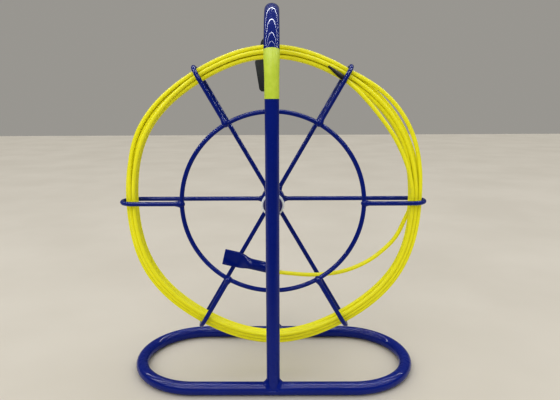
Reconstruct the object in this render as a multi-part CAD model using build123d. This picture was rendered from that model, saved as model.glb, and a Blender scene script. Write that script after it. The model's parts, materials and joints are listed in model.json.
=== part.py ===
from build123d import *

import os
from math import copysign, cos, pi, radians, sin

os.makedirs("parts", exist_ok=True)

# Fish tape reel: a wire cage wheel of fibreglass rod turning in a bent-tube stand.
# Millimetres. Origin on the floor straight under the middle of the wheel.
# +X to the right along the stand, +Y to the back, +Z up. The wheel turns about Y.

# Stand tube
tube_r = 9.0
tube_bore_r = 7.5
base_half_length = 200.0
base_half_depth = 90.0
hoop_bend_z = 428.0
vent_r = 4.0

# Wheel
hub_z = 253.5
wire_r = 3.2
ring_radius = 129.0
tip_radius = 219.0
wire_plane = 21.0
spoke_angles = {"right": 0, "upper_right": 60, "upper_left": 120, "left": 180}
spoke_angles |= {"lower_left": 240, "lower_right": 300}

# Hub and axle
axle_r = 6.0
barrel_r = 15.0
barrel_half = 28.0
bush_r = 11.0
bush_length = 22.0
bush_bore_r = 6.05
flange_r = 16.4
flange_t = 2.4
collar_r = 17.5
collar_y0 = 6.0
collar_y1 = 27.0
washer_r = 13.5
washer_t = 1.6
side_play = 0.2
boss_r = 7.9

# Rod
rod_r = 3.0
strand_pitch = 7.0
outer_layer_radius = 212.0
tail_angle = 66.5
shift_start = 85.0
shift_length = 32.0

# Tip holder, a piece of tube with one end pressed flat
holder_r = 8.0
holder_bore_r = 6.5
holder_tube = 40.0
holder_taper = 22.0
holder_flat = 22.0
holder_mouth = Vector(6.5, 9.78, hub_z - 107.9)
holder_slope = radians(13.3)
holder_axis = Vector(-cos(holder_slope), 0, sin(holder_slope))
holder_up = Vector(sin(holder_slope), 0, cos(holder_slope))
flat_wide = 24.0
flat_thick = 3.8

# Rod guide on the rear leg
guide_y0 = 82.0
guide_y1 = 98.0
guide_screws = ((421.0, 90.0), (442.0, 89.0))

hub = Vector(0, 0, hub_z)
Y = Vector(0, 1, 0)


def save(shape, name):
    """One closed solid, or a group of like pieces, to its own file."""
    shape.label = name
    export_step(shape, "parts/" + name + ".step")


def radial(angle):
    return Vector(cos(radians(angle)), 0, sin(radians(angle)))


def bar(start, end, radius):
    """Round bar between two points."""
    direction = end - start
    return Solid.make_cylinder(radius, direction.length, Plane(origin=start, z_dir=direction))


def cone(start, end, radius0, radius1):
    direction = end - start
    return Solid.make_cone(radius0, radius1, direction.length, Plane(origin=start, z_dir=direction))


def along_y(y0, y1, radius, centre=hub):
    """Round bar parallel to the wheel's axis."""
    return bar(centre + Y * y0, centre + Y * y1, radius)


def swept(path, radius):
    plane = Plane(origin=path @ 0, z_dir=path % 0)
    return sweep(plane * Circle(radius), path=path)


def hairpin_path(angle, inner, outer_end):
    """Out along the back plane, round the tip and back along the front plane."""
    out = radial(angle)
    turn = tip_radius - wire_plane
    back = Line(hub + out * inner + Y * wire_plane, hub + out * turn + Y * wire_plane)
    tip = ThreePointArc(back @ 1, hub + out * tip_radius, hub + out * turn - Y * wire_plane)
    front = Line(tip @ 1, hub + out * outer_end - Y * wire_plane)
    return Wire([back, tip, front])


# Base: one closed loop of tube with straight sides and half-round ends
straight = base_half_length - base_half_depth
corners = [Vector(sx * straight, sy * base_half_depth, tube_r) for sx, sy in ((-1, -1), (1, -1), (1, 1), (-1, 1))]
right_end = ThreePointArc(corners[1], Vector(base_half_length, 0, tube_r), corners[2])
left_end = ThreePointArc(corners[3], Vector(-base_half_length, 0, tube_r), corners[0])
base_path = Wire([Line(corners[0], corners[1]), right_end, Line(corners[2], corners[3]), left_end])
base_outer = swept(base_path, tube_r)
base_ring = base_outer - swept(base_path, tube_bore_r)
for side in (-1, 1):
    leg_foot = Vector(0, side * base_half_depth, tube_r)
    base_ring -= bar(leg_foot, leg_foot + Vector(0, 0, 12), vent_r)
save(base_ring, "base_ring")

# Hoop: two upright legs and a half-round bend that is also the carrying handle
foot_front = Vector(0, -base_half_depth, tube_r)
foot_rear = Vector(0, base_half_depth, tube_r)
top_front = Vector(0, -base_half_depth, hoop_bend_z)
top_rear = Vector(0, base_half_depth, hoop_bend_z)
crown = Vector(0, 0, hoop_bend_z + base_half_depth)
hoop_path = Wire([Line(foot_front, top_front), ThreePointArc(top_front, crown, top_rear), Line(top_rear, foot_rear)])
hoop_outer = swept(hoop_path, tube_r)
hoop = hoop_outer - swept(hoop_path, tube_bore_r) - base_outer
hoop -= along_y(base_half_depth - 12, base_half_depth + 12, axle_r + 0.1)
for hole_z, hole_y in guide_screws:
    hoop -= bar(Vector(-14, hole_y, hole_z), Vector(0, hole_y, hole_z), 1.8)
save(hoop, "hoop")

# Weld beads where the legs stand on the base
foot_welds = []
for side in (-1, 1):
    leg_foot = Vector(0, side * base_half_depth, tube_r)
    bead = cone(leg_foot + Vector(0, 0, 3.5), leg_foot + Vector(0, 0, 14), tube_r + 4.6, tube_r + 0.3)
    bead = bead - base_outer - bar(leg_foot, leg_foot + Vector(0, 0, 20), tube_r)
    foot_welds.append(bead)
save(Compound(children=[b.solid() for b in foot_welds]), "foot_welds")

# Printed label wrapped round the front leg and the start of the bend
label_low = Vector(0, -base_half_depth, 398.5)
label_turn = radians(19.0)
label_mid = Vector(0, -base_half_depth * cos(label_turn / 2), hoop_bend_z + base_half_depth * sin(label_turn / 2))
label_top = Vector(0, -base_half_depth * cos(label_turn), hoop_bend_z + base_half_depth * sin(label_turn))
label_path = Wire([Line(label_low, top_front), ThreePointArc(top_front, label_mid, label_top)])
label = swept(label_path, tube_r + 0.25) - swept(label_path, tube_r + 0.02)
save(label, "label")

# Axle bolt: head behind the rear leg, end screwed into the boss on the front leg
head_y = base_half_depth + tube_r + 2.1
washer_face = barrel_half + flange_t + side_play
spacer_face = washer_face + washer_t
hexagon = Plane(origin=hub + Y * head_y, z_dir=Y) * RegularPolygon(9.5, 6, major_radius=False)
axle = (extrude(hexagon, amount=7.5).solid() + along_y(-78, head_y + 1, axle_r)).solid()
axle = axle.chamfer(1.0, None, [axle.edges().filter_by(GeomType.CIRCLE).sort_by(Axis.Y)[0]])
save(axle, "axle_bolt")

front_leg = bar(foot_front, top_front, tube_r)
rear_leg = bar(foot_rear, top_rear, tube_r)
boss = along_y(-base_half_depth, -spacer_face, boss_r) - along_y(-79, 0, axle_r + 0.02) - front_leg
save(boss.solids().sort_by(Axis.Y)[-1], "axle_boss")
spacer = along_y(spacer_face, base_half_depth, boss_r) - along_y(0, 120, axle_r + 0.2) - rear_leg
save(spacer.solids().sort_by(Axis.Y)[0], "rear_spacer")
boss_weld = cone(hub - Y * 84, hub - Y * 77.5, boss_r + 1.8, boss_r + 0.2)
boss_weld = boss_weld - along_y(-base_half_depth, 0, boss_r) - front_leg
save(boss_weld.solids().sort_by(SortBy.VOLUME)[-1], "boss_weld")

front_washer = along_y(-spacer_face, -washer_face, washer_r) - along_y(-60, 0, axle_r + 0.15)
save(front_washer, "front_washer")
rear_washer = along_y(washer_face, spacer_face, washer_r) - along_y(0, 60, axle_r + 0.15)
save(rear_washer, "rear_washer")
head_washer = along_y(base_half_depth + tube_r, head_y, 12.0) - along_y(80, 120, axle_r + 0.15)
save(head_washer, "head_washer")

# Hub: barrel with a thicker collar that carries the spokes, and a flanged bush in each end
barrel = (along_y(-barrel_half, barrel_half, barrel_r) + along_y(collar_y0, collar_y1, collar_r)).solid()
rim_edges = barrel.edges().filter_by(GeomType.CIRCLE).filter_by(lambda e: e.radius > collar_r - 0.01)
barrel = barrel.chamfer(1.0, None, rim_edges)
barrel -= along_y(-60, 60, bush_r)
save(barrel, "hub_barrel")
for name, side in (("front_bush", -1), ("rear_bush", 1)):
    sleeve = along_y(side * (barrel_half - bush_length), side * barrel_half, bush_r)
    bush = (sleeve + along_y(side * barrel_half, side * (barrel_half + flange_t), flange_r)).solid()
    outer_edge = bush.edges().filter_by(GeomType.CIRCLE).filter_by(lambda e: abs(e.center().Y) > barrel_half + 1)
    bush = bush.fillet(0.9, outer_edge)
    bush -= along_y(-60, 60, bush_bore_r)
    save(bush, name)

# Cage: six hairpin spokes from the hub collar over the coil to the front ring
collar_bar = along_y(collar_y0 - 4, collar_y1 + 4, collar_r)
ring_plane = Plane(origin=hub - Y * wire_plane, z_dir=Y)
front_ring = Solid.make_torus(ring_radius, wire_r, ring_plane)
ring_cutter = Solid.make_torus(ring_radius, wire_r + 0.02, ring_plane)
save(front_ring, "front_ring")

hub_welds = []
ring_welds = []
for name, angle in spoke_angles.items():
    path = hairpin_path(angle, collar_r - 3, ring_radius + 1.4)
    spoke = (swept(path, wire_r) - collar_bar - ring_cutter).solids().sort_by(SortBy.VOLUME)[-1]
    save(spoke, "spoke_" + name)
    out = radial(angle)
    wire = bar(hub + out * 5 + Y * wire_plane, hub + out * 40 + Y * wire_plane, wire_r + 0.02)
    bead = cone(hub + out * 15 + Y * wire_plane, hub + out * 22.5 + Y * wire_plane, 5.6, wire_r + 0.25)
    hub_welds.append((bead - collar_bar - wire).solids().sort_by(SortBy.VOLUME)[-1])
    wire = bar(hub + out * 120 - Y * wire_plane, hub + out * 150 - Y * wire_plane, wire_r + 0.02)
    bead = cone(hub + out * 129.5 - Y * wire_plane, hub + out * 137 - Y * wire_plane, 5.4, wire_r + 0.25)
    ring_welds.append((bead - ring_cutter - wire).solids().sort_by(SortBy.VOLUME)[-1])
save(Compound(children=hub_welds), "hub_welds")
save(Compound(children=ring_welds), "ring_welds")

# Tip holder: tube with its far end pressed flat, welded across the front of the lower left spoke
def holder_section(along, half_wide, half_deep, square):
    """Outline of the holder at a distance from its mouth, with its back face in one plane."""
    centre = holder_mouth + holder_axis * along + Y * (holder_r - half_deep)
    spots = []
    for i in range(48):
        turn = 2 * pi * (i + 0.5) / 48
        across = half_wide * copysign(abs(cos(turn)) ** (1 / square), cos(turn))
        deep = half_deep * copysign(abs(sin(turn)) ** (1 / square), sin(turn))
        spots.append(centre + holder_up * across + Y * deep)
    return Face(Wire.make_polygon(spots, close=True))


taper_start = holder_tube
flat_start = holder_tube + holder_taper
holder_end = flat_start + holder_flat
sections = [holder_section(taper_start - 0.5, holder_r, holder_r, 1)]
sections.append(holder_section(taper_start + holder_taper / 3, 9.4, 6.4, 1.2))
sections.append(holder_section(taper_start + holder_taper * 2 / 3, 11.1, 3.7, 1.9))
sections.append(holder_section(flat_start, flat_wide / 2, flat_thick / 2, 4))
sections.append(holder_section(holder_end, flat_wide / 2, flat_thick / 2, 4))
holder = bar(holder_mouth, holder_mouth + holder_axis * holder_tube, holder_r) + loft(sections, ruled=True)
holder -= bar(holder_mouth - holder_axis, holder_mouth + holder_axis * holder_tube, holder_bore_r)
save(holder.solid(), "tip_holder")

crossing = hub + radial(240) * 108 + Y * (wire_plane - wire_r)
spoke_bar = bar(hub + radial(240) * 60 + Y * wire_plane, hub + radial(240) * 150 + Y * wire_plane, wire_r)
holder_weld = bar(crossing - Y * 0.8, crossing + Y * 2.6, 5.6) - spoke_bar - holder
holder_beads = [s for s in holder_weld.solids() if s.volume > 1.0]
save(Compound(children=holder_beads), "tip_holder_welds")

# Rod: strands stacked like pipes, each turn moving one place along this list.
# Each place is (layer, position across the wheel in strand pitches).
places = [(2, -1.5), (1, -1), (0, -0.5), (0, 0.5), (1, 1), (1, 0), (2, -0.5), (2, 0.5)]
layer_step = strand_pitch * cos(radians(30))
loose_turn = 2
slack_end = 66.5
leave_at = 70.5


def smooth(value, start, length):
    """0 before start, 1 after start + length, and an even change between."""
    t = min(max((value - start) / length, 0.0), 1.0)
    return t * t * (3 - 2 * t)


def shift_at(turn):
    """Where in its turn a strand starts to move over to the next place."""
    return shift_start + shift_length * (len(places) - 2 - turn)


def rod_point(turn, local):
    """Centre of the rod this many degrees round one of its turns."""
    place = places[turn]
    following = places[min(turn + 1, len(places) - 1)]
    move = smooth(local, shift_at(turn), shift_length)
    layer = place[0] + (following[0] - place[0]) * move
    across = strand_pitch * (place[1] + (following[1] - place[1]) * move)
    radius = outer_layer_radius - layer_step * layer
    part = (slack_end - local) / 60
    if turn == loose_turn and 0 < part < 1:
        radius += 9.3 * sin(pi * part ** 1.15) ** 1.3
    elif turn > 0 and 0 < part < 1:
        radius += (1.3 + 1.1 * place[0]) * sin(pi * part) ** 2
    return hub + radial(tail_angle - local) * radius + Y * across


def heading(local):
    return radial(tail_angle - local - 90)


def wander(turn, start, end, steps):
    """Stretch of rod that changes place or bulges out."""
    spots = [rod_point(turn, start + (end - start) * i / steps) for i in range(steps + 1)]
    return Spline(*spots, tangents=(heading(start), heading(end)))


def steady(turn, start, end):
    """Stretch of rod that keeps to one circle."""
    return ThreePointArc(rod_point(turn, start), rod_point(turn, (start + end) / 2), rod_point(turn, end))


# The tail lies loose on the inside of the coil: angle, radius and place across the wheel
tail = [(62, 199.6, -13.2), (56, 197.0, -13.2), (50, 194.8, -13.2), (39, 192.6, -13.2), (27, 194.3, -13.0)]
tail += [(15, 197.4, -12.2), (5, 199.6, -10.9)]
tail_spots = [hub + radial(angle) * radius + Y * across for angle, radius, across in tail]
tail_in = (tail_spots[1] - tail_spots[0]).normalized()
rod_edges = [Spline(*tail_spots, rod_point(0, leave_at), tangents=(tail_in, heading(leave_at)))]
rod_edges.append(steady(0, leave_at, shift_at(0)))
last_turn = len(places) - 1
for turn in range(1, last_turn + 1):
    joined = shift_at(turn - 1) + shift_length
    leaving = shift_at(turn) if turn < last_turn else leave_at
    rod_edges.append(wander(turn - 1, shift_at(turn - 1), joined, 4))
    rod_edges.append(steady(turn, joined - 360, slack_end - 60))
    rod_edges.append(wander(turn, slack_end - 60, slack_end, 6))
    rod_edges.append(steady(turn, slack_end, leaving))

# Free strand from the coil to the tip holder, lying low in its mouth
free_strand = [(193.7, 4.2, -28.8), (184.3, 5.2, -50.7), (172.8, 6.4, -67.1), (150.4, 8.0, -87.9)]
free_strand += [(127.3, 9.2, -101.8), (103.8, 10.0, -110.5), (80.0, 10.2, -114.5), (55.9, 10.2, -115.7)]
free_strand += [(32.0, 10.2, -114.1)]
spots = [rod_point(last_turn, leave_at)] + [hub + Vector(x, y, z) for x, y, z in free_strand]
spots += [holder_mouth - holder_axis * 2 - holder_up * 2.9, holder_mouth + holder_axis * 8 - holder_up * 1.9]
rod_edges.append(Spline(*spots, tangents=(heading(leave_at), holder_axis)))
rod_edges.append(Line(spots[-1], spots[-1] + holder_axis * 16))
rod_path = Wire(rod_edges)
rod = swept(rod_path, rod_r)
save(rod, "rod")

# Ferrule on the leading end of the rod, inside the holder
tip_start = spots[-1] + holder_axis * 2
rod_tip = bar(tip_start, tip_start + holder_axis * 26, 4.3)
rod_tip -= bar(tip_start - holder_axis, spots[-1] + holder_axis * 16.2, rod_r + 0.05)
save(rod_tip, "rod_tip_ferrule")

# Tapered sleeve on the tail end of the rod
tail_dir = tail_in * -1
cap_mouth = tail_spots[0] - tail_dir * 8
cap_end = tail_spots[0] + tail_dir * 22
cap = (cone(cap_mouth, tail_spots[0], 3.8, 3.4) + cone(tail_spots[0], cap_end, 3.4, 1.1)).solid()
rod_cutter = swept(Wire(rod_edges[:1]), rod_r + 0.03)
cap = (cap - rod_cutter).solid()
save(cap, "rod_tail_cap")

# Rod guide: moulded block screwed to the side of the rear leg, with an eye at its top
outline = Polyline((0.5, 412), (-18, 412), (-21, 415), (-27.5, 456), (-25, 461.5), (-20, 464), (-17, 476))
crown_arc = ThreePointArc((-17, 476), (-7, 493.5), (3, 476))
close = Polyline((3, 476), (0.5, 460), (0.5, 412))
guide_plane = Plane(origin=(0, guide_y1, 0), x_dir=(1, 0, 0), z_dir=(0, -1, 0))
guide_face = guide_plane * make_face([outline, crown_arc, close])
guide = extrude(guide_face, amount=guide_y1 - guide_y0).solid()
guide -= bar(Vector(-7, 0, 481), Vector(-7, 200, 481), 6.0)
guide = guide - hoop_outer
for hole_z, hole_y in guide_screws:
    guide = guide - bar(Vector(-40, hole_y, hole_z), Vector(0, hole_y, hole_z), 2.2)
    guide = guide - bar(Vector(-40, hole_y, hole_z), Vector(-16.5, hole_y, hole_z), 4.2)
guide = guide.solids().sort_by(SortBy.VOLUME)[-1]
save(guide, "rod_guide")

screws = []
for hole_z, hole_y in guide_screws:
    shank = bar(Vector(-16.5, hole_y, hole_z), Vector(-2, hole_y, hole_z), 1.75)
    head = bar(Vector(-19.1, hole_y, hole_z), Vector(-16.5, hole_y, hole_z), 3.9)
    slot = Box(2.2, 1.0, 9).move(Location((-19.4, hole_y, hole_z)))
    screws.append((head + shank - slot).solid())
save(Compound(children=screws), "guide_screws")
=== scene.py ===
import json
import math

import bpy
import numpy as np
from mathutils import Matrix, Vector


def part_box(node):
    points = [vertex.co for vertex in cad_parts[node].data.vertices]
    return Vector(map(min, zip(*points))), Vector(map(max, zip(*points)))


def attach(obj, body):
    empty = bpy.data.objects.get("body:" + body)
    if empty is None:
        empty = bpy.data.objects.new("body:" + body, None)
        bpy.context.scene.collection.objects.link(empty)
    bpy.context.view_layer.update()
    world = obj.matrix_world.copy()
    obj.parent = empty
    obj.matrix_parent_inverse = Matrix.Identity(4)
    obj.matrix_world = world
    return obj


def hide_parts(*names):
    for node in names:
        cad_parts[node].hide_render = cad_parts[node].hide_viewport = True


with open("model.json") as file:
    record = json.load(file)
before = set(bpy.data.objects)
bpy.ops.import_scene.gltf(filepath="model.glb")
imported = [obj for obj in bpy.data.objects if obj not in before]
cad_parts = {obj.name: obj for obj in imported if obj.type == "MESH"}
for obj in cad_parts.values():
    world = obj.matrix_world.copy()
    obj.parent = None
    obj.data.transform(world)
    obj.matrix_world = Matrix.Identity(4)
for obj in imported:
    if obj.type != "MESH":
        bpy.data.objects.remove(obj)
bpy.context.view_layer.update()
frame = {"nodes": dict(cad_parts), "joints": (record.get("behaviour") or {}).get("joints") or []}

MM = 0.001
hinge = next(j for j in frame["joints"] if j["name"] == "wheel_spin")
HUB = np.array(hinge["pos_m"]) / MM
Y = np.array([0.0, 1.0, 0.0])
Z = np.array([0.0, 0.0, 1.0])


def low(node):
    return np.array(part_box(node)[0]) / MM


def high(node):
    return np.array(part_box(node)[1]) / MM


# Sizes in millimetres. All but the rod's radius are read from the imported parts.
TUBE_R = high("base_ring")[2] / 2
BASE_LENGTH = high("base_ring")[0] - TUBE_R
BASE_DEPTH = high("base_ring")[1] - TUBE_R
BEND_Z = high("hoop")[2] - TUBE_R - BASE_DEPTH
WIRE_R = (high("front_ring")[1] - low("front_ring")[1]) / 2
WIRE_Y = (high("front_ring")[1] + low("front_ring")[1]) / 2
RING_R = high("front_ring")[0] - WIRE_R
TIP_R = high("spoke_right")[0] - WIRE_R
COLLAR_R = high("hub_barrel")[0]
ROD_R = 3.0

SPOKE_STEP = 60
SPOKES = {
    "right": 0, "upper_right": 60, "upper_left": 120,
    "left": 180, "lower_left": 240, "lower_right": 300,
}


# ---------------------------------------------------------------- mesh tools

def add_piece(name, verts, faces, uvs, body, node, material, flat_over=40):
    """A mesh in the row frame that stands for one CAD node. Verts are in millimetres."""
    mesh = bpy.data.meshes.new(name)
    mesh.from_pydata([tuple(v) for v in np.asarray(verts) * MM], [], faces)
    layer = mesh.uv_layers.new(name="length")
    layer.data.foreach_set("uv", np.asarray(uvs, np.float32).ravel())
    mesh.polygons.foreach_set("use_smooth", [True] * len(mesh.polygons))
    mesh.set_sharp_from_angle(angle=math.radians(flat_over))
    mesh.materials.append(material)
    obj = bpy.data.objects.new(name, mesh)
    bpy.context.scene.collection.objects.link(obj)
    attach(obj, body)
    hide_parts(node)
    return obj


class Shell:
    """Collects rings of points into one mesh, with u round the ring and v along it in metres."""

    def __init__(self):
        self.verts, self.faces, self.uvs = [], [], []

    def rings(self, rings, closed=False, caps=True):
        rings = np.asarray(rings, float)
        count, sides = rings.shape[:2]
        base = len(self.verts)
        self.verts += [p for ring in rings for p in ring]
        middles = rings.mean(axis=1)
        steps = np.linalg.norm(np.diff(middles, axis=0), axis=1)
        along = np.concatenate([[0], np.cumsum(steps)]) * MM
        if closed:
            along = np.append(along, along[-1] + np.linalg.norm(middles[0] - middles[-1]) * MM)
        for i in range(count if closed else count - 1):
            here, there = base + i * sides, base + (i + 1) % count * sides
            v0, v1 = along[i], along[i + 1]
            for k in range(sides):
                n = (k + 1) % sides
                self.faces.append((here + k, here + n, there + n, there + k))
                u0, u1 = k / sides, (k + 1) / sides
                self.uvs += [(u0, v0), (u1, v0), (u1, v1), (u0, v1)]
        if caps and not closed:
            for row, flip in ((0, True), (count - 1, False)):
                loop = [base + row * sides + k for k in range(sides)]
                self.faces.append(tuple(reversed(loop)) if flip else tuple(loop))
                self.uvs += [(0.5, along[row])] * sides
        return self

    def piece(self, name, body, node, slot, material, flat_over=40):
        return add_piece(name, self.verts, self.faces, self.uvs, body, node, material, flat_over)


def headings(path, closed=False):
    path = np.asarray(path, float)
    if closed:
        t = np.roll(path, -1, axis=0) - np.roll(path, 1, axis=0)
    else:
        t = np.gradient(path, axis=0)
    return t / np.linalg.norm(t, axis=1)[:, None]


def pipe_rings(path, radius, sides=32, closed=False, side=None, shape=None):
    """Rings round a path. side holds one axis of the section; shape scales (side, other) per point."""
    path = np.asarray(path, float)
    t = headings(path, closed)
    if side is not None:
        first = np.array([np.asarray(side, float) - (np.asarray(side, float) @ d) * d for d in t])
        first /= np.linalg.norm(first, axis=1)[:, None]
    else:
        first = np.zeros_like(path)
        start = np.cross(t[0], Z if abs(t[0][2]) < 0.9 else Y)
        first[0] = start / np.linalg.norm(start)
        for i in range(1, len(path)):
            n = first[i - 1] - (first[i - 1] @ t[i]) * t[i]
            first[i] = n / np.linalg.norm(n)
    second = np.cross(t, first)
    angles = np.linspace(0, 2 * math.pi, sides, endpoint=False)
    shape = np.ones((len(path), 2)) if shape is None else np.asarray(shape, float)
    radius = np.broadcast_to(np.asarray(radius, float), (len(path),))
    a = (radius * shape[:, 0])[:, None, None] * first[:, None, :] * np.cos(angles)[None, :, None]
    b = (radius * shape[:, 1])[:, None, None] * second[:, None, :] * np.sin(angles)[None, :, None]
    return path[:, None, :] + a + b


def lathe_rings(origin, axis, profile, sides=36):
    """Rings turned about an axis. profile is (distance along, radius)."""
    axis = np.asarray(axis, float) / np.linalg.norm(axis)
    first = np.cross(axis, Z if abs(axis[2]) < 0.9 else Y)
    first /= np.linalg.norm(first)
    second = np.cross(axis, first)
    angles = np.linspace(0, 2 * math.pi, sides, endpoint=False)
    spin = np.cos(angles)[:, None] * first + np.sin(angles)[:, None] * second
    return [np.asarray(origin) + axis * s + spin * r for s, r in profile]


def arc(centre, first, second, radius, start, end, steps):
    """Points on an arc, angles in degrees, in the plane of two unit vectors."""
    angles = np.radians(np.linspace(start, end, steps))
    first, second = np.asarray(first, float), np.asarray(second, float)
    spin = np.cos(angles)[:, None] * first + np.sin(angles)[:, None] * second
    return np.asarray(centre, float) + radius * spin


def straight(a, b, steps):
    return np.linspace(np.asarray(a, float), np.asarray(b, float), steps)


def join(*parts):
    """Joins runs of points, dropping the repeated ones where they meet."""
    points = [parts[0]] + [p[1:] for p in parts[1:]]
    return np.vstack(points)


def radial(angle):
    return np.array([math.cos(math.radians(angle)), 0.0, math.sin(math.radians(angle))])


def ripple(count, seed, size):
    """Smooth repeatable noise for a closed run of points."""
    rng = np.random.default_rng(seed)
    t = np.linspace(0, 2 * math.pi, count, endpoint=False)
    waves = [rng.normal() / k * np.sin(k * t + rng.uniform(0, 6.28)) for k in range(1, 7)]
    return size * np.sum(waves, axis=0)


# ---------------------------------------------------------------- materials

class Paint:
    """A small builder for the nodes of one material or of the world."""

    def __init__(self, owner):
        self.mat = bpy.data.materials.new(owner) if isinstance(owner, str) else owner
        self.mat.use_nodes = True
        self.tree = self.mat.node_tree
        self.bsdf = self.tree.nodes.get("Principled BSDF")
        self.coords = self.tree.nodes.new("ShaderNodeTexCoord")

    def node(self, kind, **values):
        n = self.tree.nodes.new(kind)
        for key, value in values.items():
            if key in n.inputs:
                n.inputs[key].default_value = value
            else:
                setattr(n, key, value)
        return n

    def link(self, a, b):
        self.tree.links.new(a, b)

    def stretched(self, scale, source="Object"):
        m = self.node("ShaderNodeMapping")
        m.inputs["Scale"].default_value = scale
        self.link(self.coords.outputs[source], m.inputs["Vector"])
        return m.outputs["Vector"]

    def noise(self, scale, detail=3.0, rough=0.5, vector=None, distortion=0.0):
        n = self.node(
            "ShaderNodeTexNoise", Scale=scale, Detail=detail, Roughness=rough, Distortion=distortion
        )
        self.link(vector if vector is not None else self.coords.outputs["Object"], n.inputs["Vector"])
        return n.outputs["Fac"]

    def cells(self, scale):
        n = self.node("ShaderNodeTexVoronoi", Scale=scale, feature="F1")
        self.link(self.coords.outputs["Object"], n.inputs["Vector"])
        return n.outputs["Distance"]

    def span(self, value, low_in, high_in, low_out=0.0, high_out=1.0):
        n = self.node("ShaderNodeMapRange")
        limits = {"From Min": low_in, "From Max": high_in, "To Min": low_out, "To Max": high_out}
        for key, number in limits.items():
            n.inputs[key].default_value = number
        self.link(value, n.inputs["Value"])
        return n.outputs["Result"]

    def maths(self, op, a, b):
        n = self.node("ShaderNodeMath", operation=op)
        for socket, value in zip(n.inputs, (a, b)):
            if isinstance(value, (int, float)):
                socket.default_value = value
            else:
                self.link(value, socket)
        return n.outputs["Value"]

    def mix(self, fac, a, b):
        n = self.node("ShaderNodeMix", data_type="RGBA")
        for socket, value in ((n.inputs[0], fac), (n.inputs[6], a), (n.inputs[7], b)):
            if isinstance(value, (int, float)):
                socket.default_value = value
            elif isinstance(value, tuple):
                socket.default_value = (*value, 1.0)
            else:
                self.link(value, socket)
        return n.outputs[2]

    def bump(self, height, distance, strength):
        n = self.node("ShaderNodeBump", Distance=distance, Strength=strength)
        self.link(height, n.inputs["Height"])
        return n.outputs["Normal"]

    def set(self, **values):
        names = {
            "color": "Base Color", "rough": "Roughness", "metal": "Metallic", "normal": "Normal",
            "coat": "Coat Weight", "coat_rough": "Coat Roughness", "specular": "Specular IOR Level",
            "subsurface": "Subsurface Weight", "radius": "Subsurface Radius",
            "subsurface_scale": "Subsurface Scale", "anisotropic": "Anisotropic",
        }
        for key, value in values.items():
            socket = self.bsdf.inputs[names[key]]
            if isinstance(value, bpy.types.NodeSocket):
                self.link(value, socket)
            else:
                socket.default_value = value
        return self.mat


def powder_coat(name, deep, bright):
    """Gloss powder coat: orange peel, faint shade drift, a few dull rubs and dust specks."""
    p = Paint(name)
    drift = p.noise(9, 2)
    color = p.mix(p.span(drift, 0.3, 0.7), deep, bright)
    rub = p.span(p.noise(30, 3, 0.5, distortion=0.3), 0.60, 0.76)
    color = p.mix(p.maths("MULTIPLY", rub, 0.08), color, (0.04, 0.06, 0.30))
    specks = p.span(p.cells(520), 0.10, 0.04)
    thin = p.maths("MULTIPLY", specks, p.span(p.noise(60, 2), 0.58, 0.66))
    color = p.mix(p.maths("MULTIPLY", thin, 0.3), color, (0.20, 0.24, 0.44))
    grain = p.span(p.noise(160, 4), 0.3, 0.7, 0.24, 0.34)
    rough = p.maths("ADD", grain, p.maths("MULTIPLY", rub, 0.12))
    peel = p.bump(p.noise(120, 1, 0.4), 0.00002, 0.15)
    return p.set(color=color, rough=rough, normal=peel, coat=0.55, coat_rough=0.03, specular=0.03)


def rod_skin(name):
    """Yellow plastic skin over glass fibre: drawn streaks along it, scuffs and a little grime."""
    p = Paint(name)
    streak_uv = p.stretched((34.0, 5.0, 1.0), "UV")
    streaks = p.noise(1.0, 4, 0.6, streak_uv)
    color = p.mix(p.span(streaks, 0.35, 0.65), (0.92, 0.88, 0.018), (0.96, 0.93, 0.035))
    patch = p.noise(1.0, 3, 0.55, p.stretched((1.5, 16.0, 1.0), "UV"))
    color = p.mix(p.span(patch, 0.55, 0.8, 0.0, 0.35), color, (0.70, 0.66, 0.010))
    grime = p.span(p.noise(90, 3, 0.5), 0.62, 0.78, 0.0, 0.10)
    color = p.mix(grime, color, (0.26, 0.22, 0.03))
    scuff = p.span(p.noise(1.0, 3, 0.6, p.stretched((5.0, 40.0, 1.0), "UV")), 0.62, 0.76)
    color = p.mix(p.maths("MULTIPLY", scuff, 0.2), color, (0.95, 0.94, 0.30))
    rough = p.maths("ADD", p.span(streaks, 0.3, 0.7, 0.30, 0.38), p.maths("MULTIPLY", scuff, 0.1))
    grooves = p.bump(p.noise(1.0, 1, 0.4, streak_uv), 0.00001, 0.08)
    return p.set(color=color, rough=rough, normal=grooves, specular=0.22)


def label_vinyl(name):
    """Yellow-green vinyl under a clear film: fine pale dots, dull smears and soft wrinkles."""
    p = Paint(name)
    tone = p.mix(p.span(p.noise(120, 4, 0.6), 0.35, 0.65), (0.56, 0.72, 0.055), (0.64, 0.79, 0.085))
    dots = p.span(p.cells(2600), 0.32, 0.22, 0.0, 0.12)
    tone = p.mix(dots, tone, (0.78, 0.86, 0.22))
    smear = p.span(p.noise(70, 5, 0.7, distortion=0.6), 0.62, 0.78, 0.0, 0.25)
    tone = p.mix(smear, tone, (0.40, 0.50, 0.10))
    wrinkle = p.bump(p.noise(1.0, 3, 0.5, p.stretched((260, 260, 60))), 0.00035, 0.22)
    rough = p.span(p.noise(300, 3), 0.3, 0.7, 0.30, 0.42)
    return p.set(color=tone, rough=rough, normal=wrinkle, coat=0.15, coat_rough=0.25, specular=0.3)


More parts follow.
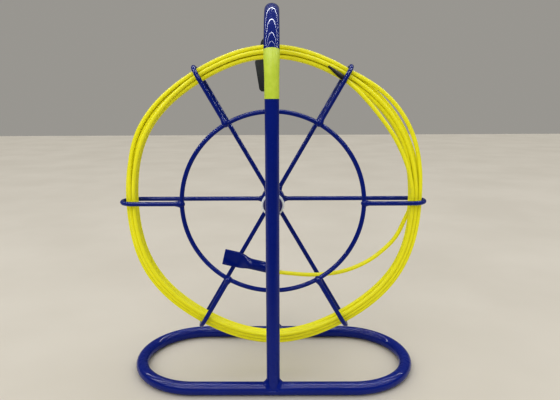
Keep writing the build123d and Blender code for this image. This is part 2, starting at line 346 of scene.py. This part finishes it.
def plated(name, tone, warm, grain=(40, 900, 900), base_rough=0.26):
    """Metal with a drawn or turned grain, tint patches and faint stains."""
    p = Paint(name)
    patch = p.noise(130, 4, 0.6)
    color = p.mix(p.span(patch, 0.35, 0.7), tone, warm)
    stain = p.span(p.noise(420, 5, 0.7), 0.58, 0.74)
    color = p.mix(p.maths("MULTIPLY", stain, 0.4), color, tuple(0.45 * c for c in tone))
    line = p.noise(1.0, 4, 0.6, p.stretched(grain))
    drawn = p.span(line, 0.3, 0.7, base_rough - 0.05, base_rough + 0.1)
    rough = p.maths("ADD", drawn, p.maths("MULTIPLY", stain, 0.2))
    grooves = p.bump(line, 0.00008, 0.3)
    return p.set(color=color, metal=1.0, rough=rough, normal=grooves, anisotropic=0.3)


def dark_coat(name, tone):
    """Dark dipped coating, satin, with a lighter bloom."""
    p = Paint(name)
    bloom = tuple(1.9 * c + 0.01 for c in tone)
    color = p.mix(p.span(p.noise(220, 5, 0.65), 0.35, 0.7), tone, bloom)
    rough = p.span(p.noise(500, 3), 0.3, 0.7, 0.32, 0.5)
    grain = p.bump(p.noise(1300, 3), 0.00008, 0.3)
    return p.set(color=color, rough=rough, normal=grain, coat=0.2, coat_rough=0.3)


def nylon(name):
    """Milky turned nylon with fine tool rings."""
    p = Paint(name)
    color = p.mix(p.span(p.noise(180, 3), 0.35, 0.7), (0.80, 0.84, 0.86), (0.90, 0.92, 0.92))
    dirt = p.span(p.noise(380, 5, 0.7), 0.62, 0.78, 0.0, 0.3)
    color = p.mix(dirt, color, (0.42, 0.43, 0.42))
    rings = p.noise(1.0, 2, 0.5, p.stretched((30, 2400, 30)))
    return p.set(
        color=color, rough=p.span(rings, 0.3, 0.7, 0.30, 0.42), normal=p.bump(rings, 0.00007, 0.3),
        subsurface=0.3, radius=(1, 1, 1), subsurface_scale=0.0015, coat=0.2,
    )


def moulded(name, tone, rough=(0.42, 0.60), grain=2600, depth=0.00012):
    """Moulded plastic or rubber: spark-eroded grain, lighter patches of painted sheen that are also
    rougher, and dust in the grain.
    """
    p = Paint(name)
    # Painted sheen: lighter patches in the base colour, and the same noise raises the roughness there.
    painted_sheen = p.noise(60, 4, 0.6)
    color = p.mix(p.span(painted_sheen, 0.3, 0.7), tone, tuple(1.7 * c + 0.004 for c in tone))
    fine = p.span(p.noise(grain * 0.5, 3), 0.55, 0.7)
    dust = p.maths("MULTIPLY", fine, p.span(p.noise(35, 3), 0.45, 0.65))
    color = p.mix(p.maths("MULTIPLY", dust, 0.22), color, (0.20, 0.19, 0.17))
    texture = p.bump(p.noise(grain, 3, 0.6), depth, 0.5)
    return p.set(color=color, rough=p.span(painted_sheen, 0.3, 0.7, *rough), normal=texture, specular=0.45)


DEEP_BLUE, BRIGHT_BLUE = (0.0022, 0.014, 0.190), (0.0032, 0.018, 0.235)
BLUE = powder_coat("blue_powder_coat", DEEP_BLUE, BRIGHT_BLUE)
WHEEL_BLUE = powder_coat("wheel_powder_coat", DEEP_BLUE, BRIGHT_BLUE)
YELLOW = rod_skin("yellow_rod_skin")
VINYL = label_vinyl("label_vinyl")
ZINC = plated("zinc_plate", (0.58, 0.59, 0.60), (0.66, 0.64, 0.56))
BRASS = plated("turned_brass", (0.66, 0.47, 0.17), (0.78, 0.60, 0.28), base_rough=0.22)
DARK = dark_coat("dark_coat", (0.022, 0.020, 0.120))
NYLON = nylon("white_nylon")
RUBBER = moulded("black_rubber", (0.010, 0.010, 0.011), (0.50, 0.68), 1800, 0.0001)
BLACK = moulded("black_plastic", (0.013, 0.018, 0.024))


# ---------------------------------------------------------------- stand

def racetrack(half_length, half_depth, height, steps=72):
    """Two straight sides and two half-round ends."""
    flat = half_length - half_depth
    x, y = np.array([1.0, 0, 0]), Y
    right = arc((flat, 0, height), x, y, half_depth, -90, 90, steps)
    left = arc((-flat, 0, height), x, y, half_depth, 90, 270, steps)
    front = straight(left[-1], right[0], 24)[1:-1]
    back = straight(right[-1], left[0], 24)[1:-1]
    return np.vstack([front, right, back, left])


BASE = racetrack(BASE_LENGTH, BASE_DEPTH, TUBE_R)
Shell().rings(
    pipe_rings(BASE, TUBE_R, 40, closed=True, side=Z), closed=True
).piece("base_tube", "stand", "base_ring", "blue_powder_coat", BLUE)


def hoop_path():
    """Up the front leg, over the bend and down the rear leg, ending inside the base tube."""
    foot_z = TUBE_R + 1
    front = straight((0, -BASE_DEPTH, foot_z), (0, -BASE_DEPTH, BEND_Z), 60)
    bend = arc((0, 0, BEND_Z), -Y, Z, BASE_DEPTH, 0, 180, 96)
    rear = straight((0, BASE_DEPTH, BEND_Z), (0, BASE_DEPTH, foot_z), 60)
    return join(front, bend, rear)


def smooth(value, start, length):
    """Rises softly from 0 to 1 over a length."""
    t = np.clip((value - start) / length, 0, 1)
    return t * t * (3 - 2 * t)


def bend_shape(path):
    """The tube flattens where it is bent: wider across, thinner towards the middle of the bend."""
    wider, thinner = 0.10, 0.09
    t = smooth(path[:, 2], BEND_Z - 6, 34)
    return np.stack([1 + wider * t, 1 - thinner * t], axis=1)


HOOP = hoop_path()
Shell().rings(
    pipe_rings(HOOP, TUBE_R, 48, side=(1, 0, 0), shape=bend_shape(HOOP)), caps=False
).piece("hoop_tube", "stand", "hoop", "blue_powder_coat", BLUE)


# Foot weld section: (share of the width outwards, share of the height upwards) from the toe on the
# upright to the toe on the base tube. A negative first number is a depth inside the upright instead,
# and a second number below -1 a depth inside the base tube, both in millimetres.
FILLET = [(-1.2, 0.4), (0.03, 1.0), (0.16, 0.78), (0.40, 0.48), (0.72, 0.18), (1.0, -0.06), (-1.2, -2.0)]


def foot_weld(shell, side, seed):
    """Hollow fillet round an upright where it meets the base tube, widest at the two sides."""
    a = np.linspace(0, 2 * math.pi, 120, endpoint=False)
    corner = np.abs(np.cos(a)) ** 1.6
    lumps = 1 + ripple(len(a), seed, 0.05)
    width = (0.7 + 4.6 * corner) * lumps
    height = (1.0 + 4.8 * corner) * lumps
    rings = []
    for out, up in FILLET:
        r = TUBE_R + (width * out if out > 0 else out)
        x, y = r * np.cos(a), r * np.sin(a)
        rise = np.sqrt(np.maximum(TUBE_R ** 2 - y ** 2, 0))
        lift = height * up if up > -1 else up
        rings.append(np.stack([x, side * BASE_DEPTH + y, TUBE_R + rise + lift], axis=1))
    shell.rings(rings, closed=True)


foot = Shell()
for number, side in enumerate((-1, 1)):
    foot_weld(foot, side, 11 + number)
foot.piece("foot_weld_beads", "stand", "foot_welds", "blue_powder_coat", BLUE)


def label_rings():
    """The label: a thin sleeve just off the tube, following it into the bend."""
    gap, outside = 0.03, 0.28
    start = low("label")[2]
    top = high("label")[2]
    part = HOOP[(HOOP[:, 1] < 0) & (HOOP[:, 2] > start) & (HOOP[:, 2] < top - 1)]
    path = np.vstack([[0, -BASE_DEPTH, start], part])
    shape = bend_shape(path)
    outer = pipe_rings(path, TUBE_R + outside, 48, side=(1, 0, 0), shape=shape)
    inner = pipe_rings(path, TUBE_R + gap, 48, side=(1, 0, 0), shape=shape)
    return np.vstack([inner[:1], outer[:1], outer, outer[-1:], inner[-1:]])


Shell().rings(label_rings(), caps=False).piece("label_wrap", "stand", "label", "label_vinyl", VINYL)


# ---------------------------------------------------------------- wheel

def hairpin(angle):
    """From inside the hub's collar, round the tip and back to the front ring."""
    out = radial(angle)
    turn = TIP_R + WIRE_Y
    back = straight(HUB + out * (COLLAR_R - 2) - Y * WIRE_Y, HUB + out * turn - Y * WIRE_Y, 40)
    tip = arc(HUB + out * turn, Y, out, -WIRE_Y, 0, 180, 36)
    front = straight(HUB + out * turn + Y * WIRE_Y, HUB + out * (RING_R + 1.5) + Y * WIRE_Y, 16)
    return join(back, tip, front)


for name, angle in SPOKES.items():
    rings = pipe_rings(hairpin(angle), WIRE_R, 24, side=np.cross(radial(angle), Y))
    Shell().rings(rings).piece("wire_" + name, "wheel", "spoke_" + name, "wheel_blue", WHEEL_BLUE)

ring_path = arc(HUB + Y * WIRE_Y, (1, 0, 0), Z, RING_R, 0, 360, 241)[:-1]
Shell().rings(
    pipe_rings(ring_path, WIRE_R, 24, closed=True, side=Y), closed=True
).piece("ring_wire", "wheel", "front_ring", "wheel_blue", WHEEL_BLUE)


# Weld beads: (distance outwards along the spoke, radius)
RING_BEAD = [(-4.2, 1.4), (-3.4, 2.9), (-1.5, 4.5), (1.0, 5.3), (3.0, 5.1)]
RING_BEAD += [(5.0, 4.3), (7.5, 3.6), (10.5, 3.15), (11.5, 2.9)]
HUB_BEAD = [(-3.0, 3.4), (-1.2, 4.9), (0.4, 4.7), (1.6, 4.1), (2.8, 3.7), (4.2, 3.4), (5.0, 3.0)]


def weld_blob(shell, origin, axis, profile, seed):
    """A lumpy fillet turned about a wire."""
    rings = np.array(lathe_rings(origin, axis, profile))
    for number, ring in enumerate(rings):
        wave = 1 + ripple(len(ring), seed * 31 + number, 0.02) + ripple(len(ring), seed * 31, 0.05)
        centre = ring.mean(axis=0)
        ring[:] = centre + (ring - centre) * wave[:, None]
    shell.rings(rings)


ring_beads, hub_beads = Shell(), Shell()
for number, angle in enumerate(SPOKES.values()):
    out = radial(angle)
    weld_blob(ring_beads, HUB + out * RING_R + Y * WIRE_Y, out, RING_BEAD, 3 + number)
    weld_blob(hub_beads, HUB + out * COLLAR_R - Y * WIRE_Y, out, HUB_BEAD, 13 + number)
ring_beads.piece("ring_weld_beads", "wheel", "ring_welds", "wheel_blue", WHEEL_BLUE)
hub_beads.piece("hub_weld_beads", "wheel", "hub_welds", "wheel_blue", WHEEL_BLUE)


# Tip holder: a tube whose far end is pressed flat against the spoke
SLOPE = math.radians(13.3)
HOLDER_AXIS = np.array([-math.cos(SLOPE), 0.0, math.sin(SLOPE)])
HOLDER_UP = np.array([math.sin(SLOPE), 0.0, math.cos(SLOPE)])
HOLDER_R, HOLDER_WALL = 8.0, 1.5
TAPER, FLAT, HOLDER_END = 40.0, 62.0, 84.0  # distances from the mouth
MOUTH = np.array([6.5, 9.78, HUB[2] - 107.9])


def holder_section(s):
    """Half width, half depth and squareness of the holder at a distance from its mouth."""
    t = smooth(s, TAPER, FLAT - TAPER)
    return HOLDER_R + 4.0 * t, HOLDER_R - 6.1 * t, 1 + 3.0 * t ** 2


def holder_ring(s, wall=0.0, sides=64):
    """One ring of the holder, set in from the outside by a wall. Its back stays in one plane."""
    wide, deep, square = holder_section(s)
    shift = HOLDER_R - deep
    angles = np.linspace(0, 2 * math.pi, sides, endpoint=False)
    c, d = np.cos(angles), np.sin(angles)
    x = np.sign(c) * np.abs(c) ** (1 / square) * (wide - wall)
    y = np.sign(d) * np.abs(d) ** (1 / square) * max(deep - wall, 0.28)
    return MOUTH + HOLDER_AXIS * s + Y * shift + x[:, None] * HOLDER_UP + y[:, None] * Y


outer = [holder_ring(0.0, 0.5), holder_ring(0.25, 0.15)]
outer += [holder_ring(s) for s in np.linspace(1.0, HOLDER_END - 1.0, 90)]
outer += [holder_ring(HOLDER_END - 0.3, 0.12), holder_ring(HOLDER_END, 0.5)]
inner = [holder_ring(HOLDER_END, 1.1)]
inner += [holder_ring(s, HOLDER_WALL) for s in np.linspace(HOLDER_END - 0.6, 0.6, 84)]
inner += [holder_ring(0.0, 1.1)]
holder = Shell()
holder.rings(outer + inner, closed=True)
holder.piece("tip_holder_tube", "wheel", "tip_holder", "wheel_blue", WHEEL_BLUE, 50)

# Two beads along the spoke the holder crosses, in ripples and thin at both ends
holder_welds = Shell()
spoke_out = radial(SPOKES["lower_left"])
spoke_side = np.cross(spoke_out, Y)
crossing = HUB + spoke_out * 108
BEAD_HALF, BEAD_STEPS = 9.5, 44
for side in (-1, 1):
    centre = crossing + spoke_side * side * (WIRE_R + 0.2) - Y * (WIRE_Y + WIRE_R - 0.2)
    length = straight(centre - spoke_out * BEAD_HALF, centre + spoke_out * BEAD_HALF, BEAD_STEPS)
    swell = np.sin(np.linspace(0, math.pi, BEAD_STEPS)) ** 0.5
    bead = 0.4 + 2.0 * swell * (1 + 0.08 * np.abs(np.sin(np.linspace(0, 22, BEAD_STEPS))))
    holder_welds.rings(pipe_rings(length, bead, 14))
holder_welds.piece("tip_holder_weld_beads", "wheel", "tip_holder_welds", "wheel_blue", WHEEL_BLUE)


# Rod: the CAD rod's stacked turns with small waves, and bulging between the spokes. The bulges match
# the coil's outline in the photo; part of them makes up for the camera's small error in height.
COIL_R = 212.0  # of the outermost layer
PITCH = 7.0
LAYER = PITCH * math.cos(math.radians(30))
PLACES = [(2, -1.5), (1, -1), (0, -0.5), (0, 0.5), (1, 1), (1, 0), (2, -0.5), (2, 0.5)]  # (layer, place)
TAIL_ANGLE = 66.5  # where each turn is counted from
LEAVE = 70.5  # degrees from there to where the tail joins the turns
SHIFT_START, SHIFT_LENGTH = 85, 32  # degrees into a turn where it changes place
ROD_STEP = 1.5  # degrees
LOOSE = 2  # the turn that hangs loose at the upper right
LOOSE_LIFT, BULGE_LOWER, BULGE_UPPER = 9.3, 3.6, 4.2
TAIL = [(62, 199.6, -13.2), (56, 197.0, -13.2), (50, 194.8, -13.2), (39, 192.6, -13.2)]  # angle, radius, y
TAIL += [(27, 194.3, -13.0), (15, 197.4, -12.2), (5, 199.6, -10.9), (-4, 199.9, -10.5)]
FREE = [(193.7, 4.2, -28.8), (184.3, 5.2, -50.7), (172.8, 6.4, -67.1), (150.4, 8.0, -87.9)]  # from the hub
FREE += [(127.3, 9.2, -101.8), (103.8, 10.0, -110.5), (80.0, 10.2, -114.5), (55.9, 10.2, -115.7)]
FREE += [(32.0, 10.2, -114.1)]


def strand(turn, local):
    """Radius and place across the wheel of the rod this many degrees into a turn."""
    here, following = PLACES[turn], PLACES[min(turn + 1, len(PLACES) - 1)]
    move = smooth(local, SHIFT_START + SHIFT_LENGTH * (len(PLACES) - 2 - turn), SHIFT_LENGTH)
    layer = here[0] + (following[0] - here[0]) * move
    radius = COIL_R - LAYER * layer
    across = PITCH * (here[1] + (following[1] - here[1]) * move)
    part = (TAIL_ANGLE - local) / SPOKE_STEP
    slack = math.sin(math.pi * part) ** 2
    if turn == LOOSE and 0 < part < 1:
        radius += LOOSE_LIFT * math.sin(math.pi * part ** 1.15) ** 1.3
    elif 0 < part < 1:
        radius += (1.3 + 1.1 * here[0]) * slack
    else:
        radius += (BULGE_LOWER if -3 < part < 0 else BULGE_UPPER) * slack
    return radius, across


def rod_path():
    """Tail, stacked turns and the free strand into the holder."""
    rng = np.random.default_rng(5)
    phases = rng.uniform(0, 6.28, 8)
    last = len(PLACES) - 1
    steps = int((360 * last) / ROD_STEP)
    tail_spots = [HUB + radial(a) * r + Y * y for a, r, y in TAIL]
    lead = tail_spots[1] - tail_spots[0]
    points = list(smooth_run(tail_spots, lead, tail_spots[-1] + radial(-94.0) * 30))
    for step in range(1, steps + 1):
        run = LEAVE + step * ROD_STEP
        turn = min(int(run // 360), last)
        local = run - 360 * turn
        radius, across = strand(turn, local)
        angle = math.radians(TAIL_ANGLE - run)
        hold = math.sin(3 * angle) ** 2 * smooth(step, 0, 12) * (1 - smooth(step, steps - 12, 12))
        radius += 0.35 * math.sin(run / 31 + phases[0]) * hold
        across += 0.40 * math.sin(run / 47 + phases[1]) * hold
        points.append(HUB + radial(TAIL_ANGLE - run) * radius + Y * across)
    inside = MOUTH + HOLDER_AXIS * 8 - HOLDER_UP * 1.9
    knots = [points[-1]] + [HUB + np.array(spot) for spot in FREE]
    knots += [MOUTH - HOLDER_AXIS * 2 - HOLDER_UP * 2.9, inside]
    run_in = smooth_run(knots, points[-1] - points[-2], inside + HOLDER_AXIS * 10)
    return np.vstack([points, run_in[1:], inside + HOLDER_AXIS * 8, inside + HOLDER_AXIS * 16])


def smooth_run(knots, first_step, beyond):
    """A round curve through a few points, leaving along first_step and heading for a point beyond."""
    knots = np.array(knots, float)
    before = knots[0] - first_step / np.linalg.norm(first_step) * np.linalg.norm(knots[1] - knots[0])
    padded = np.vstack([before, knots, beyond])
    out = [knots[0]]
    for i in range(1, len(padded) - 2):
        p0, p1, p2, p3 = padded[i - 1:i + 3]
        steps = max(4, int(np.linalg.norm(p2 - p1) / 4))
        for t in np.linspace(0, 1, steps + 1)[1:]:
            out.append(0.5 * (2 * p1 + (p2 - p0) * t + (2 * p0 - 5 * p1 + 4 * p2 - p3) * t ** 2
                              + (3 * p1 - p0 - 3 * p2 + p3) * t ** 3))
    return np.array(out)


ROD = rod_path()
Shell().rings(pipe_rings(ROD, ROD_R, 24)).piece("rod_coil", "wheel", "rod", "yellow_rod", YELLOW)

# Sleeve on the rod's tail: over its first three points, then past its end, tapering to a point
SLEEVE_PAST = (3, 7, 11, 15, 18, 20.5, 21.6, 22)
SLEEVE_R = np.array([3.15, 3.6, 3.55, 3.45, 3.0, 2.5, 2.0, 1.65, 1.4, 1.0, 0.4])
tail_dir = -headings(ROD[:3])[0]
sleeve_path = np.vstack([ROD[2::-1], [ROD[0] + tail_dir * s for s in SLEEVE_PAST]])
Shell().rings(
    pipe_rings(sleeve_path, SLEEVE_R, 28)
).piece("rod_tail_sleeve", "wheel", "rod_tail_cap", "black_rubber", RUBBER)


# ---------------------------------------------------------------- CAD nodes that keep their shape

def dress(node, material, bevel=0.0, segments=3):
    """Gives a CAD node its finish, with rounded edges where it has sharp ones."""
    obj = frame["nodes"][node]
    obj.data.materials.clear()
    obj.data.materials.append(material)
    obj.data.polygons.foreach_set("use_smooth", [True] * len(obj.data.polygons))
    if bevel:
        weld = obj.modifiers.new("weld", "WELD")
        weld.merge_threshold = 0.00001
        mod = obj.modifiers.new("edges", "BEVEL")
        mod.width = bevel * MM
        mod.segments = segments
        mod.limit_method = "ANGLE"
        mod.angle_limit = math.radians(35)
        mod.harden_normals = True


dress("axle_bolt", ZINC, 0.5)
dress("axle_boss", BLUE, 0.3)
dress("boss_weld", BLUE, 0.3)
dress("rear_spacer", ZINC, 0.3)
dress("front_washer", DARK, 0.25)
dress("rear_washer", DARK, 0.25)
dress("head_washer", ZINC, 0.25)
dress("rod_guide", BLACK, 1.2, 4)
dress("guide_screws", ZINC, 0.2)
dress("hub_barrel", WHEEL_BLUE, 0.5)
dress("front_bush", NYLON, 0.2)
dress("rear_bush", NYLON, 0.2)
dress("rod_tip_ferrule", BRASS, 0.3)


# ---------------------------------------------------------------- stage, light and camera

scene = bpy.context.scene
FLOOR = 6  # metres from the middle to each edge

# The floor in front of the reel, the walls and the ceiling are darker in reflections than to the
# camera, so that the gloss paint stays deep.
floor_mesh = bpy.data.meshes.new("floor")
corners = [(-FLOOR, -FLOOR, 0), (FLOOR, -FLOOR, 0), (FLOOR, FLOOR, 0), (-FLOOR, FLOOR, 0)]
floor_mesh.from_pydata(corners, [], [(0, 1, 2, 3)])
floor = bpy.data.objects.new("floor", floor_mesh)
scene.collection.objects.link(floor)
p = Paint("pale_floor")
tone = p.mix(p.span(p.noise(3, 3), 0.35, 0.65), (0.60, 0.56, 0.49), (0.64, 0.60, 0.53))
mirrored = p.node("ShaderNodeLightPath").outputs["Is Glossy Ray"]
split = p.node("ShaderNodeSeparateXYZ")
p.link(p.coords.outputs["Object"], split.inputs["Vector"])
in_front = p.span(split.outputs["Y"], -0.15, -0.6)
tone = p.mix(p.maths("MULTIPLY", mirrored, in_front), tone, (0.08, 0.08, 0.08))
floor_mesh.materials.append(p.set(color=tone, rough=0.75, normal=p.bump(p.noise(300, 3), 0.0002, 0.1)))

world = bpy.data.worlds.new("studio")
scene.world = world
w = Paint(world)
ray = w.node("ShaderNodeLightPath")
heading = w.node("ShaderNodeSeparateXYZ")
w.link(w.coords.outputs["Generated"], heading.inputs["Vector"])
up = w.span(heading.outputs["Z"], 0.0, 1.0)
ceiling = w.maths("MULTIPLY", w.maths("MULTIPLY", up, up), 1.32)
ceiling = w.maths("MULTIPLY", ceiling, w.span(ray.outputs["Is Glossy Ray"], 0.0, 1.0, 1.0, 0.10))
walls = w.span(heading.outputs["Y"], -1.0, 0.6, 0.26, 0.34)
walls = w.maths("MULTIPLY", walls, w.span(ray.outputs["Is Glossy Ray"], 0.0, 1.0, 1.0, 0.45))
glow = w.maths("ADD", walls, ceiling)
lit = w.mix(glow, (0.0, 0.0, 0.0), (1.0, 0.99, 0.96))
seen = w.mix(ray.outputs["Is Camera Ray"], lit, (0.295, 0.285, 0.265))
w.link(seen, world.node_tree.nodes["Background"].inputs["Color"])


def area_light(name, place, target, size, power, color):
    """A rectangular lamp aimed at a point. size is (length, width) in metres, power in watts."""
    lamp = bpy.data.lights.new(name, "AREA")
    lamp.shape = "RECTANGLE"
    lamp.size, lamp.size_y = size
    lamp.energy = power
    lamp.color = color
    obj = bpy.data.objects.new(name, lamp)
    obj.location = place
    obj.rotation_euler = (Vector(target) - Vector(place)).to_track_quat("-Z", "Y").to_euler()
    scene.collection.objects.link(obj)
    return obj


# Strips overhead, as (y, width, power). They show in reflections and do not light matt surfaces.
STRIPS = [(-3.3, 0.12, 130), (-1.95, 0.08, 55), (-1.08, 0.09, 95), (0.17, 0.11, 135), (2.0, 0.12, 105)]
STRIP_HEIGHT, STRIP_LENGTH, COOL, WARM = 3.0, 12.0, (0.97, 0.985, 1.0), (1.0, 0.98, 0.95)
for number, (y, width, power) in enumerate(STRIPS):
    place = (0, y, STRIP_HEIGHT)
    strip = area_light(f"strip_{number}", place, (0, y, 0), (STRIP_LENGTH, width), power, COOL)
    strip.visible_diffuse = False
area_light("soft_front", (-1.0, -2.6, 1.9), (0, 0, 0.25), (2.4, 1.6), 20, WARM)

# The camera solved for the photo's viewing angle. Angles are in radians.
CAMERA_AT = (0.0064, -0.736, 0.392)
YAW, PITCH_DOWN, ROLL = 0.0076, 0.184, -0.0048
camera_data = bpy.data.cameras.new("camera")
camera_data.sensor_width = 36
camera_data.lens = 33.05
camera_data.shift_x = 0.0116
camera = bpy.data.objects.new("camera", camera_data)
level = Matrix.Rotation(math.pi / 2 - PITCH_DOWN, 4, "X")
turn = Matrix.Rotation(YAW, 4, "Z") @ level @ Matrix.Rotation(ROLL, 4, "Z")
camera.matrix_world = Matrix.Translation(CAMERA_AT) @ turn
scene.collection.objects.link(camera)
scene.camera = camera
scene.view_settings.view_transform = "Standard"
scene.view_settings.look = "Medium High Contrast"
